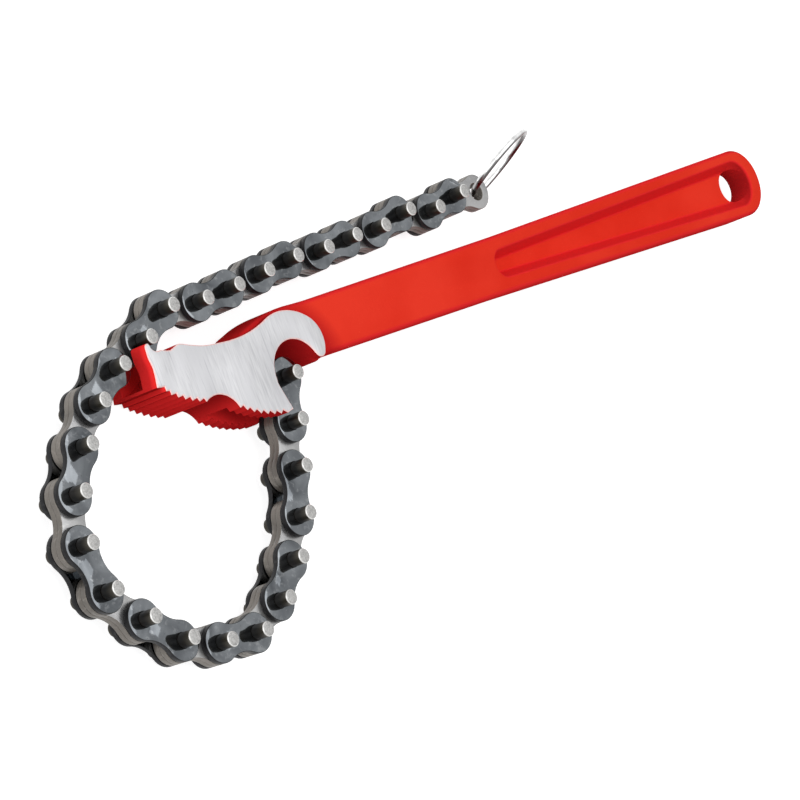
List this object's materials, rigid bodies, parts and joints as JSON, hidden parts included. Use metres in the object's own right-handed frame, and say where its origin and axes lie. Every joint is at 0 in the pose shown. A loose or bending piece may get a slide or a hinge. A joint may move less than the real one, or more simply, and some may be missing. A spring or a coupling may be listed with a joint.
{
  "type": "chain wrench",
  "caption": "Forged chain wrench with a toothed double jaw, a hooked leaf chain held behind the jaw's horn, a ring at the chain's end and a recessed handle with a hanging hole.",
  "frame": {"origin": "on the head's back face, on the handle's centre line, midway between the two toothed jaws", "axes": "+X along the handle from the jaws to its butt, +Y to the back of the head, the side without teeth, +Z out of the ground front face; the wrench lies on its back face"},
  "size_m": [0.3333, 0.1082, 0.0251],
  "materials": {
    "red_paint": "satin",
    "outer_steel": "satin",
    "inner_steel": "satin",
    "pin_steel": "satin",
    "chrome_ring": "polished"
  },
  "bodies": {
    "handle": {"handle": "red_paint", "anchor_pin": "pin_steel"},
    "inner_link_01": {"inner_plate_front_01": "inner_steel", "inner_plate_back_01": "inner_steel"},
    "outer_link_01": {"pin_plate_01": "pin_steel", "outer_plate_01": "outer_steel"},
    "inner_link_02": {"inner_plate_front_02": "inner_steel", "inner_plate_back_02": "inner_steel"},
    "outer_link_02": {"pin_plate_02": "pin_steel", "outer_plate_02": "outer_steel"},
    "inner_link_03": {"inner_plate_front_03": "inner_steel", "inner_plate_back_03": "inner_steel"},
    "outer_link_03": {"pin_plate_03": "pin_steel", "outer_plate_03": "outer_steel"},
    "inner_link_04": {"inner_plate_front_04": "inner_steel", "inner_plate_back_04": "inner_steel"},
    "outer_link_04": {"pin_plate_04": "pin_steel", "outer_plate_04": "outer_steel"},
    "inner_link_05": {"inner_plate_front_05": "inner_steel", "inner_plate_back_05": "inner_steel"},
    "outer_link_05": {"pin_plate_05": "pin_steel", "outer_plate_05": "outer_steel"},
    "inner_link_06": {"inner_plate_front_06": "inner_steel", "inner_plate_back_06": "inner_steel"},
    "outer_link_06": {"pin_plate_06": "pin_steel", "outer_plate_06": "outer_steel"},
    "inner_link_07": {"inner_plate_front_07": "inner_steel", "inner_plate_back_07": "inner_steel"},
    "outer_link_07": {"pin_plate_07": "pin_steel", "outer_plate_07": "outer_steel"},
    "inner_link_08": {"inner_plate_front_08": "inner_steel", "inner_plate_back_08": "inner_steel"},
    "outer_link_08": {"pin_plate_08": "pin_steel", "outer_plate_08": "outer_steel"},
    "inner_link_09": {"inner_plate_front_09": "inner_steel", "inner_plate_back_09": "inner_steel"},
    "outer_link_09": {"pin_plate_09": "pin_steel", "outer_plate_09": "outer_steel"},
    "inner_link_10": {"inner_plate_front_10": "inner_steel", "inner_plate_back_10": "inner_steel"},
    "outer_link_10": {"pin_plate_10": "pin_steel", "outer_plate_10": "outer_steel"},
    "inner_link_11": {"inner_plate_front_11": "inner_steel", "inner_plate_back_11": "inner_steel"},
    "outer_link_11": {"pin_plate_11": "pin_steel", "outer_plate_11": "outer_steel"},
    "inner_link_12": {"inner_plate_front_12": "inner_steel", "inner_plate_back_12": "inner_steel"},
    "outer_link_12": {"pin_plate_12": "pin_steel", "outer_plate_12": "outer_steel"},
    "inner_link_13": {"inner_plate_front_13": "inner_steel", "inner_plate_back_13": "inner_steel"},
    "outer_link_13": {"pin_plate_13": "pin_steel", "outer_plate_13": "outer_steel"},
    "inner_link_14": {"inner_plate_front_14": "inner_steel", "inner_plate_back_14": "inner_steel"},
    "outer_link_14": {"riveted_link_14": "outer_steel"},
    "inner_link_15": {"end_plate_front_15": "inner_steel", "end_plate_back_15": "inner_steel"},
    "ring": {"ring": "chrome_ring"}
  },
  "joints": [
    {"name": "anchor_hinge", "type": "hinge", "parent": "handle", "child": "inner_link_01", "pos_m": [0.01683, -0.00759, 0.00835], "axis": [0, 0, -1], "range_deg": [0, 8]},
    {"name": "pin_01_hinge", "type": "hinge", "parent": "inner_link_01", "child": "outer_link_01", "pos_m": [0.02935, -0.00968, 0.00835], "axis": [0, 0, -1], "range_deg": [-20, 0]},
    {"name": "pin_02_hinge", "type": "hinge", "parent": "outer_link_01", "child": "inner_link_02", "pos_m": [0.02501, -0.02162, 0.00835], "axis": [0, 0, -1], "range_deg": [-8, 0]},
    {"name": "pin_03_hinge", "type": "hinge", "parent": "inner_link_02", "child": "outer_link_02", "pos_m": [0.02005, -0.03331, 0.00835], "axis": [0, 0, -1], "range_deg": [-8, 0]},
    {"name": "pin_04_hinge", "type": "hinge", "parent": "outer_link_02", "child": "inner_link_03", "pos_m": [0.01508, -0.045, 0.00835], "axis": [0, 0, -1], "range_deg": [-8, 0]},
    {"name": "pin_05_hinge", "type": "hinge", "parent": "inner_link_03", "child": "outer_link_03", "pos_m": [0.00692, -0.05473, 0.00835], "axis": [0, 0, -1], "range_deg": [-8, 0]},
    {"name": "pin_06_hinge", "type": "hinge", "parent": "outer_link_03", "child": "inner_link_04", "pos_m": [-0.00266, -0.06306, 0.00835], "axis": [0, 0, -1], "range_deg": [-8, 0]},
    {"name": "pin_07_hinge", "type": "hinge", "parent": "inner_link_04", "child": "outer_link_04", "pos_m": [-0.01435, -0.06802, 0.00835], "axis": [0, 0, -1], "range_deg": [-8, 0]},
    {"name": "pin_08_hinge", "type": "hinge", "parent": "outer_link_04", "child": "inner_link_05", "pos_m": [-0.02698, -0.06669, 0.00835], "axis": [0, 0, -1], "range_deg": [-8, 0]},
    {"name": "pin_09_hinge", "type": "hinge", "parent": "inner_link_05", "child": "outer_link_05", "pos_m": [-0.03892, -0.06235, 0.00835], "axis": [0, 0, -1], "range_deg": [-12, 0]},
    {"name": "pin_10_hinge", "type": "hinge", "parent": "outer_link_05", "child": "inner_link_06", "pos_m": [-0.04836, -0.05385, 0.00835], "axis": [0, 0, -1], "range_deg": [-12, 0]},
    {"name": "pin_11_hinge", "type": "hinge", "parent": "inner_link_06", "child": "outer_link_06", "pos_m": [-0.05669, -0.04427, 0.00835], "axis": [0, 0, -1], "range_deg": [-12, 0]},
    {"name": "pin_12_hinge", "type": "hinge", "parent": "outer_link_06", "child": "inner_link_07", "pos_m": [-0.05889, -0.03176, 0.00835], "axis": [0, 0, -1], "range_deg": [-12, 0]},
    {"name": "pin_13_hinge", "type": "hinge", "parent": "inner_link_07", "child": "outer_link_07", "pos_m": [-0.05518, -0.01962, 0.00835], "axis": [0, 0, -1], "range_deg": [-12, 0]},
    {"name": "pin_14_hinge", "type": "hinge", "parent": "outer_link_07", "child": "inner_link_08", "pos_m": [-0.04772, -0.00934, 0.00835], "axis": [0, 0, -1], "range_deg": [-12, 0]},
    {"name": "pin_15_hinge", "type": "hinge", "parent": "inner_link_08", "child": "outer_link_08", "pos_m": [-0.03874, -0.00036, 0.00835], "axis": [0, 0, -1], "range_deg": [-12, 0]},
    {"name": "pin_16_hinge", "type": "hinge", "parent": "outer_link_08", "child": "inner_link_09", "pos_m": [-0.02808, 0.00656, 0.00835], "axis": [0, 0, -1], "range_deg": [-12, 0]},
    {"name": "pin_17_hinge", "type": "hinge", "parent": "inner_link_09", "child": "outer_link_09", "pos_m": [-0.01615, 0.0109, 0.00835], "axis": [0, 0, 1], "range_deg": [-2, 30]},
    {"name": "pin_18_hinge", "type": "hinge", "parent": "outer_link_09", "child": "inner_link_10", "pos_m": [-0.00494, 0.01686, 0.00835], "axis": [0, 0, 1], "range_deg": [-3, 20]},
    {"name": "pin_19_hinge", "type": "hinge", "parent": "inner_link_10", "child": "outer_link_10", "pos_m": [0.00773, 0.01598, 0.00835], "axis": [0, 0, 1], "range_deg": [-3, 20]},
    {"name": "pin_20_hinge", "type": "hinge", "parent": "outer_link_10", "child": "inner_link_11", "pos_m": [0.0204, 0.01686, 0.00835], "axis": [0, 0, 1], "range_deg": [-3, 20]},
    {"name": "pin_21_hinge", "type": "hinge", "parent": "inner_link_11", "child": "outer_link_11", "pos_m": [0.03303, 0.01819, 0.00835], "axis": [0, 0, 1], "range_deg": [-4, 20]},
    {"name": "pin_22_hinge", "type": "hinge", "parent": "outer_link_11", "child": "inner_link_12", "pos_m": [0.04566, 0.01952, 0.00835], "axis": [0, 0, 1], "range_deg": [-4, 20]},
    {"name": "pin_23_hinge", "type": "hinge", "parent": "inner_link_12", "child": "outer_link_12", "pos_m": [0.05836, 0.0193, 0.00835], "axis": [0, 0, 1], "range_deg": [-5, 20]},
    {"name": "pin_24_hinge", "type": "hinge", "parent": "outer_link_12", "child": "inner_link_13", "pos_m": [0.07103, 0.02018, 0.00835], "axis": [0, 0, 1], "range_deg": [-6, 20]},
    {"name": "pin_25_hinge", "type": "hinge", "parent": "inner_link_13", "child": "outer_link_13", "pos_m": [0.08373, 0.0204, 0.00835], "axis": [0, 0, 1], "range_deg": [-8, 20]},
    {"name": "pin_26_hinge", "type": "hinge", "parent": "outer_link_13", "child": "inner_link_14", "pos_m": [0.09623, 0.02261, 0.00835], "axis": [0, 0, 1], "range_deg": [-10, 20]},
    {"name": "pin_27_hinge", "type": "hinge", "parent": "inner_link_14", "child": "outer_link_14", "pos_m": [0.10881, 0.02084, 0.00835], "axis": [0, 0, 1], "range_deg": [-15, 20]},
    {"name": "pin_28_hinge", "type": "hinge", "parent": "outer_link_14", "child": "inner_link_15", "pos_m": [0.12132, 0.02305, 0.00835], "axis": [0, 0, 1], "range_deg": [-30, 20]},
    {"name": "ring_swivel", "type": "hinge", "parent": "inner_link_15", "child": "ring", "pos_m": [0.134, 0.02238, 0.00835], "axis": [0, 0, 1], "range_deg": [-50, 90]}
  ],
  "couplings": [
    {"joint": "anchor_hinge", "follows": "pin_01_hinge", "ratio": -0.4},
    {"joint": "pin_02_hinge", "follows": "pin_01_hinge", "ratio": 0.4},
    {"joint": "pin_03_hinge", "follows": "pin_01_hinge", "ratio": 0.4},
    {"joint": "pin_04_hinge", "follows": "pin_01_hinge", "ratio": 0.4},
    {"joint": "pin_05_hinge", "follows": "pin_01_hinge", "ratio": 0.4},
    {"joint": "pin_06_hinge", "follows": "pin_01_hinge", "ratio": 0.4},
    {"joint": "pin_07_hinge", "follows": "pin_01_hinge", "ratio": 0.4},
    {"joint": "pin_08_hinge", "follows": "pin_01_hinge", "ratio": 0.4},
    {"joint": "pin_09_hinge", "follows": "pin_01_hinge", "ratio": 0.6},
    {"joint": "pin_10_hinge", "follows": "pin_01_hinge", "ratio": 0.6},
    {"joint": "pin_11_hinge", "follows": "pin_01_hinge", "ratio": 0.6},
    {"joint": "pin_12_hinge", "follows": "pin_01_hinge", "ratio": 0.6},
    {"joint": "pin_13_hinge", "follows": "pin_01_hinge", "ratio": 0.6},
    {"joint": "pin_14_hinge", "follows": "pin_01_hinge", "ratio": 0.6},
    {"joint": "pin_15_hinge", "follows": "pin_01_hinge", "ratio": 0.6},
    {"joint": "pin_16_hinge", "follows": "pin_01_hinge", "ratio": 0.6}
  ]
}
